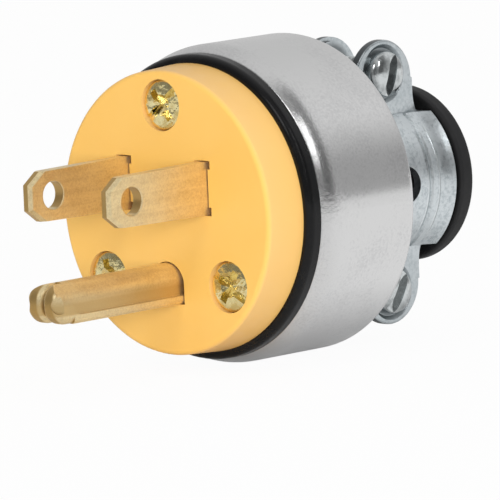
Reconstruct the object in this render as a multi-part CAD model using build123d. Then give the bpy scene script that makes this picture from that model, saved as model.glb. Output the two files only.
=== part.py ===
from build123d import *
import os

# Grounded mains plug with a steel shell and an outside cord clamp. All sizes are in millimetres.
# The plug axis is Y: blades point to -Y, the cord leaves to +Y, and the ground pin is below.
# The origin is the middle of the front face, which meets the socket outlet.

# Clearances
slip_fit = 0.1
blade_slot_clearance = 0.12
screw_hole_clearance = 0.25
thread_clearance = 0.03
rubber_clearance = 0.3
cut_margin = 1.0
match_tolerance = 0.001

# Front body: a moulded disc with a spigot and three screw posts behind it
face_draft = 0.3
body_thickness = 5.5
face_edge_round = 0.6
spigot_length = 4.0
post_radius = 2.9
post_margin = 0.25
post_tip_chamfer = 0.4
slot_relief = 0.35
slot_relief_height = 1.0

# Insulating liner: a black cup whose flange shows between the body and the shell
flange_step = 1.0
flange_thickness = 1.9
flange_round = 0.9
liner_wall = 1.2
liner_floor = 1.4
wire_hole_radius = 7.5

# Steel shell: a drawn cup with a turned-in front lip
shell_radius = 18.85
shell_wall = 0.8
shell_length = 15.6
lip_inset = 0.85
lip_depth = 2.8
lip_edge_round = 0.25
shell_corner_round = 1.2
least_corner_round = 0.1
collar_wall = 0.75
collar_length = 1.3

# Face screws
face_screw_radius = 1.6
face_screw_angles = {"top": 90.0, "left": 219.7, "right": -39.7}
face_slot_angles = {"top": 40.0, "left": 15.0, "right": -32.0}
face_head_radius = 2.95
face_head_height = 1.9
face_head_round = 0.7
face_head_depth = 0.12
counterbore_clearance = 0.1
cross_width = 0.85
cross_length = 3.6
cross_depth = 1.1
driver_cone_radius = 1.35
driver_cone_tip = 0.5
driver_cone_depth = 1.4

# Line and neutral blades
blade_spacing = 12.7
blade_height = 3.3
blade_length = 16.3
blade_width = 6.2
blade_tip_width = 5.8
blade_thickness = 1.5
blade_tip_chamfer_y = 1.9
blade_tip_chamfer_z = 1.4
blade_tip_bevel = 0.4
blade_hole_radius = 1.65
blade_hole_from_tip = 3.8
blade_edge_round = 0.15
terminal_width = 8.0

# Ground pin: one brass sheet folded into an arch, with a foot along each lower edge
pin_top = -5.8
pin_bottom = -10.5
pin_length = 21.0
pin_half_width = 2.2
pin_wall = 0.8
pin_foot_width = 0.3
pin_foot_height = 1.0
pin_foot_rise_round = 1.2
pin_foot_edge_round = 0.5
pin_lobe_length = 3.0
pin_lobe_round = 2.2
pin_lobe_corner_round = 1.0
pin_valley_round = 0.8
pin_split_width = 0.3
pin_dimple_radius = 1.0
pin_dimple_depth = 0.35
pin_dimple_from_tip = 1.0
pin_dimple_angle = 45.0
pin_web = 0.8
pin_terminal_width = 7.0

# Terminal screws and the plates that press the wires
head_round_share = 0.7
terminal_screw_radius = 1.6
terminal_head_radius = 2.8
terminal_head_height = 1.8
terminal_head_round = 0.5
terminal_screw_reach = 1.5
wire_plate_size = 6.4
wire_plate_thickness = 0.9
wire_plate_corner = 0.8
slot_width = 0.85
slot_depth = 0.8

# Cord clamp: two pressed halves, left and right of the cord
saddle_radius = 9.5
saddle_wall = 1.1
saddle_rear = 39.1
saddle_half_height = 8.0
saddle_flare_radius = 10.5
saddle_flare_length = 2.8
window_radius = 2.3
window_offset = 1.4
foot_radius = 11.6
foot_thickness = 1.0
foot_half_height = 4.0
ear_face = 4.9
ear_plate = 1.0
ear_radius = 4.95
ear_height = 12.1
ear_rear_inset = 1.1
ear_neck_width = 0.75
ear_neck_height = 2.6
ear_edge_round = 0.25
dish_radius = 3.55
dish_depth = 0.45
bead_height = 0.2
bead_width = 0.5

# Clamp screws
clamp_screw_radius = 1.9
clamp_screw_rise = 0.9
clamp_screw_from_rear = 6.1
clamp_head_radius = 2.75
clamp_head_height = 2.0
clamp_head_round = 1.3
clamp_slot_width = 1.0
clamp_slot_depth = 0.9
clamp_slot_angles = {"upper": -17.0, "lower": -30.0}
clamp_screw_reach = 1.6

# Rubber bushing round the cord
bushing_flange_radius = 10.65
bushing_gap = 0.6
bushing_flange_thickness = 2.5
bushing_bore_radius = 5.5
bushing_edge_round = 0.7
bushing_mouth_round = 0.6

# Stations along the axis and radii that follow from the sizes above
lip_y = body_thickness + flange_thickness
shell_rear_y = lip_y + shell_length
shell_inner_rear_y = shell_rear_y - shell_wall
flange_radius = shell_radius - lip_inset
body_rear_radius = flange_radius - flange_step
face_radius = body_rear_radius - face_draft
liner_radius = flange_radius - shell_wall - slip_fit
liner_bore = liner_radius - liner_wall
spigot_radius = liner_bore - slip_fit
spigot_y = body_thickness + spigot_length
face_screw_circle = spigot_radius - post_radius - post_margin
saddle_inner = saddle_radius - saddle_wall
rear_hole_radius = saddle_radius + rubber_clearance
foot_rear_y = shell_inner_rear_y - slip_fit
foot_front_y = foot_rear_y - foot_thickness
floor_rear_y = foot_front_y - rubber_clearance
floor_front_y = floor_rear_y - liner_floor
inner_end_y = floor_front_y - slip_fit
face_hole_radius = face_screw_radius + screw_hole_clearance
head_seat_y = face_head_depth + face_head_height
blade_x = blade_spacing / 2
terminal_y = (spigot_y + inner_end_y) / 2
pin_axis_z = (pin_top + pin_bottom) / 2
pin_nose_half_width = pin_half_width + pin_foot_width
ear_inner = ear_face - ear_plate
dish_floor = ear_face - dish_depth
clamp_screw_y = saddle_rear - clamp_screw_from_rear
ear_front = clamp_screw_y - ear_radius
clamp_screw_height = ear_height + clamp_screw_rise
ear_rear = saddle_rear - ear_rear_inset
bushing_flange_y = saddle_rear + bushing_gap
bushing_rear_y = bushing_flange_y + bushing_flange_thickness
bushing_front_y = shell_rear_y + rubber_clearance
bushing_radius = saddle_inner - rubber_clearance


def block(x0, x1, y0, y1, z0, z1):
    """Box between two corners."""
    middle = Pos((x0 + x1) / 2, (y0 + y1) / 2, (z0 + z1) / 2)
    return middle * Box(x1 - x0, y1 - y0, z1 - z0)


def rod_x(radius, x0, x1, y, z):
    """Round rod along X."""
    return Pos((x0 + x1) / 2, y, z) * Rot(0, 90, 0) * Cylinder(radius, abs(x1 - x0))


def rod_y(radius, y0, y1, x=0.0, z=0.0):
    """Round rod along Y."""
    return Pos(x, (y0 + y1) / 2, z) * Rot(90, 0, 0) * Cylinder(radius, abs(y1 - y0))


def rod_z(radius, z0, z1, x, y):
    """Round rod along Z."""
    return Pos(x, y, (z0 + z1) / 2) * Cylinder(radius, abs(z1 - z0))


def prism_y(sketch, y0, y1):
    """Extrude a sketch drawn in (x, z) from y0 to y1."""
    return extrude(Plane.XZ.offset(-y0) * sketch, -(y1 - y0))


def prism_x(sketch, x0, x1):
    """Extrude a sketch drawn in (y, z) from x0 to x1."""
    return extrude(Plane.YZ.offset(x0) * sketch, x1 - x0)


def turned(*points):
    """Solid of revolution about the plug axis from (radius, y) points."""
    return revolve(Polygon(*points, align=None), Axis.Y)


def rims(solid, y, radius):
    """Circular edges of one radius whose centre lies at one station."""
    found = []
    for edge in solid.edges().filter_by(GeomType.CIRCLE):
        same_place = abs(edge.arc_center.Y - y) < match_tolerance
        if same_place and abs(edge.radius - radius) < match_tolerance:
            found.append(edge)
    return found


def face_screw_place(name):
    """Centre of one face screw in the face, as x and z."""
    place = Vector(face_screw_circle, 0).rotate(Axis.Z, face_screw_angles[name])
    return place.X, place.Y


def arch(half_width, crown_z, base_z):
    """Section with a round crown and straight sides, drawn in (x, z)."""
    centre_z = crown_z - half_width
    sides = Pos(0, (centre_z + base_z) / 2) * Rectangle(2 * half_width, centre_z - base_z)
    below = Pos(0, base_z - half_width) * Rectangle(2 * half_width, 2 * half_width)
    return Pos(0, centre_z) * Circle(half_width) + sides - below


def pin_nose_section(grow):
    """Outline of the ground pin at its nose, which also passes its hole, grown by a clearance."""
    return arch(pin_nose_half_width + grow, pin_top + grow, pin_bottom - grow)


def blade_slot():
    """Opening for a blade, a little wider at its top and bottom, drawn in (x, z)."""
    width = blade_thickness + 2 * blade_slot_clearance
    height = blade_width + 2 * blade_slot_clearance
    slot = Rectangle(width, height)
    for end in (-1, 1):
        relief_z = end * (height - slot_relief_height) / 2
        slot += Pos(0, relief_z) * Rectangle(width + 2 * slot_relief, slot_relief_height)
    return slot


def make_front_body():
    """Moulded disc with its spigot, blade slots, pin hole, counterbores and screw posts."""
    body = turned(
        (0, 0), (face_radius, 0), (body_rear_radius, body_thickness),
        (spigot_radius, body_thickness), (spigot_radius, spigot_y), (0, spigot_y),
    )
    body = fillet(rims(body, 0, face_radius), face_edge_round)
    for name in face_screw_angles:
        x, z = face_screw_place(name)
        post = rod_y(post_radius, spigot_y - slip_fit, inner_end_y, x, z)
        body += chamfer(rims(post, inner_end_y, post_radius), post_tip_chamfer)
    for name in face_screw_angles:
        x, z = face_screw_place(name)
        body -= rod_y(face_head_radius + counterbore_clearance, -cut_margin, head_seat_y, x, z)
        body -= rod_y(face_hole_radius, head_seat_y - cut_margin, inner_end_y + cut_margin, x, z)
    for side in (-1, 1):
        place = Pos(side * blade_x, blade_height)
        body -= prism_y(place * blade_slot(), -cut_margin, spigot_y + cut_margin)
    body -= prism_y(pin_nose_section(blade_slot_clearance), -cut_margin, spigot_y + cut_margin)
    return body


def make_liner():
    """Black cup between the body and the shell, with a rounded flange in front."""
    skirt_end = shell_inner_rear_y - slip_fit
    liner = turned(
        (liner_bore, body_thickness), (flange_radius, body_thickness), (flange_radius, lip_y),
        (liner_radius, lip_y), (liner_radius, skirt_end), (liner_bore, skirt_end),
        (liner_bore, floor_rear_y), (wire_hole_radius, floor_rear_y),
        (wire_hole_radius, floor_front_y), (liner_bore, floor_front_y),
    )
    liner = fillet(rims(liner, body_thickness, flange_radius), flange_round)
    for name in face_screw_angles:
        x, z = face_screw_place(name)
        liner -= rod_y(face_hole_radius, floor_front_y - cut_margin, floor_rear_y + cut_margin, x, z)
    return liner


def cup(radius, front_radius, y1, corner):
    """Solid cup shape with a turned-in lip at the front and a rounded corner at the rear."""
    lip_end = lip_y + lip_depth
    front = Polyline((0, y1), (0, lip_y), (front_radius, lip_y))
    lip = TangentArc((radius, lip_end), (front_radius, lip_y), tangent=(0, -1))
    wall = Line((radius, lip_end), (radius, y1 - corner))
    round_corner = TangentArc((radius, y1 - corner), (radius - corner, y1), tangent=(0, 1))
    rear = Line((radius - corner, y1), (0, y1))
    edges = front.edges() + [lip, wall, round_corner, rear]
    return revolve(make_face(edges), Axis.Y)


def make_shell():
    """Drawn steel cup with a turned-in lip, a rear hole and three tapped collars."""
    inner_corner = max(shell_corner_round - shell_wall, least_corner_round)
    shell = cup(shell_radius, flange_radius, shell_rear_y, shell_corner_round)
    shell -= cup(shell_radius - shell_wall, flange_radius - shell_wall, shell_inner_rear_y, inner_corner)
    shell = fillet(rims(shell, lip_y, flange_radius), lip_edge_round)
    shell -= rod_y(rear_hole_radius, shell_inner_rear_y - cut_margin, shell_rear_y + cut_margin)
    tapped_radius = face_screw_radius + thread_clearance
    for name in face_screw_angles:
        x, z = face_screw_place(name)
        collar_front = shell_inner_rear_y - collar_length
        shell += rod_y(tapped_radius + collar_wall, collar_front, shell_inner_rear_y + slip_fit, x, z)
        shell -= rod_y(tapped_radius, collar_front - cut_margin, shell_rear_y + cut_margin, x, z)
    return shell


def pan_head(radius, height, edge_round):
    """Screw head standing on the XY plane with a rounded top edge."""
    head = Pos(0, 0, height / 2) * Cylinder(radius, height)
    top_edge = head.edges().filter_by(GeomType.CIRCLE).sort_by(Axis.Z)[-1]
    return fillet(top_edge, min(edge_round, head_round_share * height))


def make_face_screw(name):
    """Pan-head screw with a cross and a slot, sunk in the face and reaching the shell's collar."""
    screw = pan_head(face_head_radius, face_head_height, face_head_round)
    cross = Box(cross_length, cross_width, 2 * cross_depth)
    cross += Box(cross_width, cross_length, 2 * cross_depth)
    slot = Box(4 * face_head_radius, cross_width, cross_depth)
    cone = Pos(0, 0, -driver_cone_depth / 2) * Cone(driver_cone_tip, driver_cone_radius, driver_cone_depth)
    recess = Rot(0, 0, face_slot_angles[name]) * (cross + slot + cone)
    screw -= Pos(0, 0, face_head_height) * recess
    shank_length = shell_rear_y - head_seat_y
    screw += Pos(0, 0, -shank_length / 2) * Cylinder(face_screw_radius, shank_length)
    x, z = face_screw_place(name)
    return Pos(x, head_seat_y, z) * Rot(90, 0, 0) * screw


def make_blade(side):
    """Flat brass blade with a tapered, chamfered tip, a hole and a wider terminal end."""
    tip_y = -blade_length
    shoulder_y = tip_y + blade_tip_chamfer_y
    half_base = blade_width / 2
    half_tip = blade_tip_width / 2
    half_end = half_tip - blade_tip_chamfer_z
    half_terminal = terminal_width / 2
    outline = Polygon(
        (tip_y, -half_end), (shoulder_y, -half_tip), (0, -half_base), (spigot_y, -half_base),
        (spigot_y, -half_terminal), (inner_end_y, -half_terminal),
        (inner_end_y, half_terminal), (spigot_y, half_terminal),
        (spigot_y, half_base), (0, half_base), (shoulder_y, half_tip), (tip_y, half_end),
        align=None,
    )
    x0 = side * blade_x - blade_thickness / 2
    x1 = x0 + blade_thickness
    blade = prism_x(Pos(0, blade_height) * outline, x0, x1)
    face_edges = blade.edges().group_by(Axis.X)
    bevelled = [edge for edge in face_edges[0] + face_edges[-1] if edge.center().Y < shoulder_y]
    blade = chamfer(bevelled, blade_tip_bevel)
    hole_y = tip_y + blade_hole_from_tip
    blade -= rod_x(blade_hole_radius, x0 - cut_margin, x1 + cut_margin, hole_y, blade_height)
    blade = fillet(blade.edges().filter_by(GeomType.CIRCLE), blade_edge_round)
    tapped_radius = terminal_screw_radius + thread_clearance
    blade -= rod_x(tapped_radius, x0 - cut_margin, x1 + cut_margin, terminal_y, blade_height)
    return blade


def pin_lobe(tip_y, lobe_end):
    """Right lobe of the pin's nose: a finger rounded to its tip, with a dimple on its outer corner."""
    outline = Pos((tip_y + lobe_end) / 2, pin_axis_z) * Rectangle(pin_lobe_length, pin_top - pin_bottom)
    outline = fillet(outline.vertices().group_by(Axis.X)[0], pin_lobe_round)
    lobe = prism_x(outline, pin_split_width / 2, pin_nose_half_width)
    valley_edges = lobe.edges().group_by(Axis.X)[0]
    lobe = fillet([edge for edge in valley_edges if edge.center().Y < lobe_end], pin_valley_round)
    corner_edges = lobe.edges().group_by(Axis.X)[-1]
    lobe = fillet([edge for edge in corner_edges if edge.center().Y < lobe_end], pin_lobe_corner_round)
    lobe &= prism_y(pin_nose_section(0), tip_y, lobe_end)
    floor = Pos(pin_nose_half_width - pin_dimple_depth, tip_y + pin_dimple_from_tip, pin_axis_z)
    dimple = rod_x(pin_dimple_radius, 0, pin_nose_half_width, 0, 0)
    return lobe - floor * Rot(0, 0, -pin_dimple_angle) * dimple


def pin_side(lobe_end):
    """Step of one side of the pin, seen from the side: the foot and its round rise to the nose."""
    foot_top = pin_bottom + pin_foot_height
    foot = Pos((lobe_end + spigot_y) / 2, pin_bottom + pin_foot_height / 2)
    side = foot * Rectangle(spigot_y - lobe_end, pin_foot_height)
    rise = pin_foot_rise_round
    side += Pos(lobe_end + rise / 2, foot_top + rise / 2) * Rectangle(rise, rise)
    return side - Pos(lobe_end + rise, foot_top + rise) * Circle(rise)


def make_ground_pin():
    """Brass sheet folded into an arch, closed at the nose in two lobes, with a flat terminal."""
    tip_y = -pin_length
    lobe_end = tip_y + pin_lobe_length
    pin = prism_y(arch(pin_half_width, pin_top, pin_bottom), lobe_end, spigot_y)
    foot = prism_x(pin_side(lobe_end), -pin_nose_half_width, pin_nose_half_width)
    pin += fillet(foot.edges().filter_by(Axis.Y).group_by(Axis.Z)[0], pin_foot_edge_round)
    groove = arch(pin_half_width - pin_wall, pin_top - pin_wall, pin_bottom - cut_margin)
    pin -= prism_y(groove, lobe_end + pin_web, spigot_y + cut_margin)
    lobe = pin_lobe(tip_y, lobe_end)
    pin += lobe
    pin += mirror(lobe, Plane.YZ)
    half_terminal = pin_terminal_width / 2
    sheet_under = pin_top - pin_wall
    pin += block(-half_terminal, half_terminal, spigot_y, inner_end_y, sheet_under, pin_top)
    tapped_radius = terminal_screw_radius + thread_clearance
    pin -= rod_z(tapped_radius, sheet_under - cut_margin, pin_top + cut_margin, 0, terminal_y)
    return pin


def terminal_screw(sheet):
    """Slotted terminal screw on the Z axis, its seat at height 0 and its shank through a sheet."""
    screw = pan_head(terminal_head_radius, terminal_head_height, terminal_head_round)
    screw -= Pos(0, 0, terminal_head_height) * Box(4 * terminal_head_radius, slot_width, 2 * slot_depth)
    shank_length = wire_plate_thickness + sheet + terminal_screw_reach
    return screw + Pos(0, 0, -shank_length / 2) * Cylinder(terminal_screw_radius, shank_length)


def wire_plate():
    """Square pressure plate under a terminal screw's head, its top at height 0."""
    middle = Pos(0, 0, -wire_plate_thickness / 2)
    plate = middle * Box(wire_plate_size, wire_plate_size, wire_plate_thickness)
    plate = fillet(plate.edges().filter_by(Axis.Z), wire_plate_corner)
    hole_radius = terminal_screw_radius + screw_hole_clearance
    return plate - middle * Cylinder(hole_radius, 2 * wire_plate_thickness)


def terminal_seats():
    """Place of each terminal screw's seat, with its Z axis out of the terminal."""
    blade_seat = blade_x + blade_thickness / 2 + wire_plate_thickness
    pin_seat = pin_top - pin_wall - wire_plate_thickness
    return {
        "line": Pos(blade_seat, terminal_y, blade_height) * Rot(0, 90, 0),
        "neutral": Pos(-blade_seat, terminal_y, blade_height) * Rot(0, -90, 0),
        "ground": Pos(0, terminal_y, pin_seat) * Rot(180, 0, 0),
    }


def saddle_profile():
    """Section of the saddle's wall along the cord, from the hooked foot to the flared rear lip."""
    flare_y = saddle_rear - saddle_flare_length
    bead_y = flare_y - bead_width
    bead_radius = saddle_radius + bead_height
    flare_inner = saddle_flare_radius - saddle_wall
    outside = Polyline(
        (saddle_inner, foot_front_y), (foot_radius, foot_front_y), (foot_radius, foot_rear_y),
        (saddle_radius, foot_rear_y), (saddle_radius, bead_y),
        (bead_radius, bead_y + bead_height), (bead_radius, flare_y),
    )
    flare = TangentArc((bead_radius, flare_y), (saddle_flare_radius, saddle_rear), tangent=(0, 1))
    lip = Line((saddle_flare_radius, saddle_rear), (flare_inner, saddle_rear))
    flare_inside = TangentArc((saddle_inner, flare_y), (flare_inner, saddle_rear), tangent=(0, 1))
    inside = Line((saddle_inner, flare_y), (saddle_inner, foot_front_y))
    return make_face(outside.edges() + [flare, lip, flare_inside, inside])


def ear_outline():
    """Outline of an upper ear with its neck down to the saddle, drawn in (y, z)."""
    ear_base = (saddle_inner**2 - ear_inner**2)**0.5
    neck = Pos((ear_front + ear_rear) / 2, (ear_base + ear_height) / 2)
    outline = Pos(clamp_screw_y, ear_height) * Circle(ear_radius)
    outline += neck * Rectangle(ear_rear - ear_front, ear_height - ear_base)
    outline -= Pos(ear_rear + ear_radius, ear_height) * Rectangle(2 * ear_radius, 4 * ear_radius)
    flare_top = saddle_half_height + ear_neck_height
    flare = Pos(ear_rear + ear_neck_width / 2, (ear_base + flare_top) / 2)
    outline += flare * Rectangle(ear_neck_width, flare_top - ear_base)
    return outline - Pos(ear_rear + ear_neck_width, flare_top) * Ellipse(ear_neck_width, ear_neck_height)


def make_ear(hole_radius):
    """Upper ear: a plate with rounded outer edges, pressed into a dish round its screw hole."""
    outline = ear_outline()
    plate = prism_x(outline, ear_inner, ear_face)
    outer_edges = plate.edges().group_by(Axis.X)[-1]
    ear = fillet(outer_edges.filter_by(lambda edge: edge.center().Z > ear_height), ear_edge_round)
    boss = rod_x(dish_radius, ear_inner - dish_depth, ear_inner, clamp_screw_y, clamp_screw_height)
    ear += boss & prism_x(outline, 0, ear_inner)
    dish = Rot(0, 90, 0) * Cone(dish_radius - dish_depth, dish_radius, dish_depth)
    ear -= Pos(ear_face - dish_depth / 2, clamp_screw_y, clamp_screw_height) * dish
    return ear - rod_x(hole_radius, 0, ear_face + cut_margin, clamp_screw_y, clamp_screw_height)


def make_clamp_half(side):
    """Half of the cord clamp: saddle with a flared rear lip, hooked foot, window and two ears."""
    reach = saddle_flare_radius + foot_radius
    behind_shell = shell_rear_y + slip_fit
    front = foot_front_y - cut_margin
    rear = saddle_rear + cut_margin
    half = revolve(saddle_profile(), Axis.Y)
    half &= block(ear_inner, reach, front, rear, -saddle_half_height, saddle_half_height)
    half -= block(0, reach, front, behind_shell, foot_half_height, reach)
    half -= block(0, reach, front, behind_shell, -reach, -foot_half_height)
    ear = make_ear(clamp_screw_radius + (screw_hole_clearance if side > 0 else thread_clearance))
    half += ear
    half += mirror(ear, Plane.XY)
    half -= rod_x(window_radius, 0, reach, clamp_screw_y - window_offset, 0)
    return half if side > 0 else mirror(half, Plane.YZ)


def make_clamp_screw(name):
    """Slotted pan-head screw that draws the clamp halves together."""
    screw = pan_head(clamp_head_radius, clamp_head_height, clamp_head_round)
    slot = Box(4 * clamp_head_radius, clamp_slot_width, 2 * clamp_slot_depth)
    screw -= Pos(0, 0, clamp_head_height) * Rot(0, 0, clamp_slot_angles[name]) * slot
    shank_length = dish_floor + ear_face + clamp_screw_reach
    screw += Pos(0, 0, -shank_length / 2) * Cylinder(clamp_screw_radius, shank_length)
    height = clamp_screw_height if name == "upper" else -clamp_screw_height
    return Pos(dish_floor, clamp_screw_y, height) * Rot(0, 90, 0) * screw


def make_bushing():
    """Rubber sleeve in the clamp with a thick flange behind it."""
    bushing = turned(
        (bushing_bore_radius, bushing_front_y), (bushing_radius, bushing_front_y),
        (bushing_radius, bushing_flange_y), (bushing_flange_radius, bushing_flange_y),
        (bushing_flange_radius, bushing_rear_y), (bushing_bore_radius, bushing_rear_y),
    )
    outer = rims(bushing, bushing_rear_y, bushing_flange_radius)
    outer += rims(bushing, bushing_flange_y, bushing_flange_radius)
    bushing = fillet(outer, bushing_edge_round)
    return fillet(rims(bushing, bushing_rear_y, bushing_bore_radius), bushing_mouth_round)


def make_parts():
    """Every piece of the plug by its name."""
    parts = {
        "front_body": make_front_body(),
        "insulating_liner": make_liner(),
        "steel_shell": make_shell(),
        "line_blade": make_blade(1),
        "neutral_blade": make_blade(-1),
        "ground_pin": make_ground_pin(),
        "clamp_half_right": make_clamp_half(1),
        "clamp_half_left": make_clamp_half(-1),
        "cord_bushing": make_bushing(),
    }
    for name in face_screw_angles:
        parts["face_screw_" + name] = make_face_screw(name)
    for name in clamp_slot_angles:
        parts["clamp_screw_" + name] = make_clamp_screw(name)
    sheets = {"line": blade_thickness, "neutral": blade_thickness, "ground": pin_wall}
    for name, seat in terminal_seats().items():
        parts[name + "_terminal_screw"] = seat * terminal_screw(sheets[name])
        parts[name + "_wire_plate"] = seat * wire_plate()
    return parts


os.makedirs("parts", exist_ok=True)
for node, solid in make_parts().items():
    export_step(solid, "parts/" + node + ".step")
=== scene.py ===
import math

import bmesh
import bpy
from bpy.props import FloatProperty, FloatVectorProperty, PointerProperty
from bpy.types import Operator, Panel, PropertyGroup
from mathutils import Matrix, Vector


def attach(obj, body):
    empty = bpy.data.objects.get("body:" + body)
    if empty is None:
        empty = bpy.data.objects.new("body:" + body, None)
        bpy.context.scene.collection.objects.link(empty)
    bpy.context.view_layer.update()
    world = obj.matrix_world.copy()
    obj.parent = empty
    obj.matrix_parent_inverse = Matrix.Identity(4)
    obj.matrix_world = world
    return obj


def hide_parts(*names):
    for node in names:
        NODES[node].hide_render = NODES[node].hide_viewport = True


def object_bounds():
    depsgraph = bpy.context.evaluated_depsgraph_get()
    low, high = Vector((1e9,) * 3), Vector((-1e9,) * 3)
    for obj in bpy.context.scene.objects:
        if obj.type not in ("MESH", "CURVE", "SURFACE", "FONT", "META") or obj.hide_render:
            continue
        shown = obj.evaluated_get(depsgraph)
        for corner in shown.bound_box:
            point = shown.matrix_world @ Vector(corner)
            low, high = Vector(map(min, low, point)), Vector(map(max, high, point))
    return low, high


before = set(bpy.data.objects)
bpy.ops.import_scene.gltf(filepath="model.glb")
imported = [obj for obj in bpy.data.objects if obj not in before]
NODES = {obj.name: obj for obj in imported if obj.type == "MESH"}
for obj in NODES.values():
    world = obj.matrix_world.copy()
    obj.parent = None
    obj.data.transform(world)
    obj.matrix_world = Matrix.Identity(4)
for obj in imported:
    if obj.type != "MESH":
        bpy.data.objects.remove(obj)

bl_info = {
    "name": "Grounded Plug",
    "version": (1, 0, 0),
    "blender": (4, 5, 0),
    "location": "3D View > Sidebar > Plug",
    "description": "Dresses a grounded mains plug with its finishes, screws, light and camera",
    "category": "Object",
}

CAD_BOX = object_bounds()
MM = 0.001

# Places on the plug that its finishes follow, in metres from the middle of the face

SHEEN_RIM = 4.0 * MM  # over this distance behind the face the painted sheen on the sides fades a little
LIP_EDGE = (9.4 * MM, 11.2 * MM)  # the shell's lip ends between these
PIN_REFLECTION_STRIPE = (7.4 * MM, 9.6 * MM)  # heights of the darker stripe on the pin's sides, a painted reflection
PIN_REFLECTION_STRIPE_FADES = (0.9 * MM, 0.3 * MM)  # over these heights the stripe begins and ends
EAR_ROOT = (8.8 * MM, 10.0 * MM)  # the clamp's ears begin between these heights
DISH_SHADE_RADII = (2.9 * MM, 3.6 * MM)  # painted shade round a clamp screw fades out between these
SADDLE_SIDE = (7.0 * MM, 8.0 * MM)  # the saddle begins between these, to either side
PRESSED_LINES = ((35.4 * MM, 0.22 * MM), (37.0 * MM, 0.16 * MM))  # place along the plug, half width

# Screws: angle round the axis or side of the axis, and angle of the slot, in degrees

FACE_SCREWS = {"top": (90.0, 40.0), "left": (219.7, 15.0), "right": (-39.7, -32.0)}
CLAMP_SCREWS = {"upper": (1.0, -17.0), "lower": (-1.0, -30.0)}
FACE_RECESS = {
    "Dome Share": 0.24, "Cross Length": 4.2 * MM, "Cross Depth": 1.1 * MM, "Cone Radius": 1.3 * MM}
CLAMP_DOME = 0.72
CLAMP_CROSS_SHARE = 0.5  # a clamp screw has no cross, so the cutter stays inside its slot
CLAMP_CONE = 0.1 * MM
SHARP_ANGLE = 32.0  # edges of a screw steeper than this stay sharp, in degrees

# Stage, in metres

FLOOR_REACH = 3.0
FLOOR_SEEN = 0.955  # the camera sees this share of the backdrop's white on the floor
FLOOR_UNDER = (9.0 * MM, 20.0 * MM)  # from under the plug outwards, metal sees more of that white
FLOOR_UNDER_SHARES = (0.12, 0.88)
FLOOR_BEHIND = (-40.0 * MM, 30.0 * MM)  # and so it does from the front to the rear
FLOOR_BEHIND_SHARES = (0.2, 1.0)
TENT_RADIUS = 1.4
TENT_SEGMENTS, TENT_RINGS = 64, 48
TENT_TILT = -0.5  # the ceiling's edge comes down on the left
TENT_CEILING = (-0.11, 0.63)  # from the wall to the ceiling
TENT_SIDE = (-1.0, 0.5)  # from left to right
TENT_LEFT_SHARE = 0.72
TENT_FRONT = (-1.1, 0.1)  # from behind the camera to the rear
GAP_MIDDLE = 0.20  # the dark gap's place along the plug
GAP_EDGE = (0.22, 0.55)  # it ends between these, to either side of its middle
GAP_SIDE = (0.1, 0.6)  # it begins between these, to the right
GAP_SHARE = 0.32
LAMP_REACH = 1.1
LAMPS = {  # direction from the target, and size
    "front_lamp": ((0.68, -0.72, 0.15), (0.9, 0.34)),
    "small_lamp": ((0.20, -0.75, 0.63), (0.3, 0.3)),
    "strip_lamp": ((0.76, -0.11, 0.64), (0.11, 0.5)),
}
SENSOR_WIDTH = 36.0  # in millimetres
CAMERA_CLIP = (0.01, 20.0)


# Properties that a user would change

def colour(name, description, default):
    """A surface colour as a property."""
    return FloatVectorProperty(
        name=name, description=description, default=default, size=3, min=0.0, max=1.0, subtype="COLOR")


def length(name, description, millimetres):
    """A length as a property, given in millimetres and kept in metres."""
    return FloatProperty(
        name=name, description=description, default=millimetres * MM, min=0.0, unit="LENGTH",
        subtype="DISTANCE", precision=5)


def amount(name, description, default):
    """A plain number as a property."""
    return FloatProperty(name=name, description=description, default=default)


def turn(name, description, degrees):
    """An angle as a property, given in degrees."""
    return FloatProperty(name=name, description=description, default=math.radians(degrees), unit="ROTATION")


def power(name, description, watts):
    """A lamp's power as a property."""
    return FloatProperty(name=name, description=description, default=watts, unit="POWER")


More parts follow.
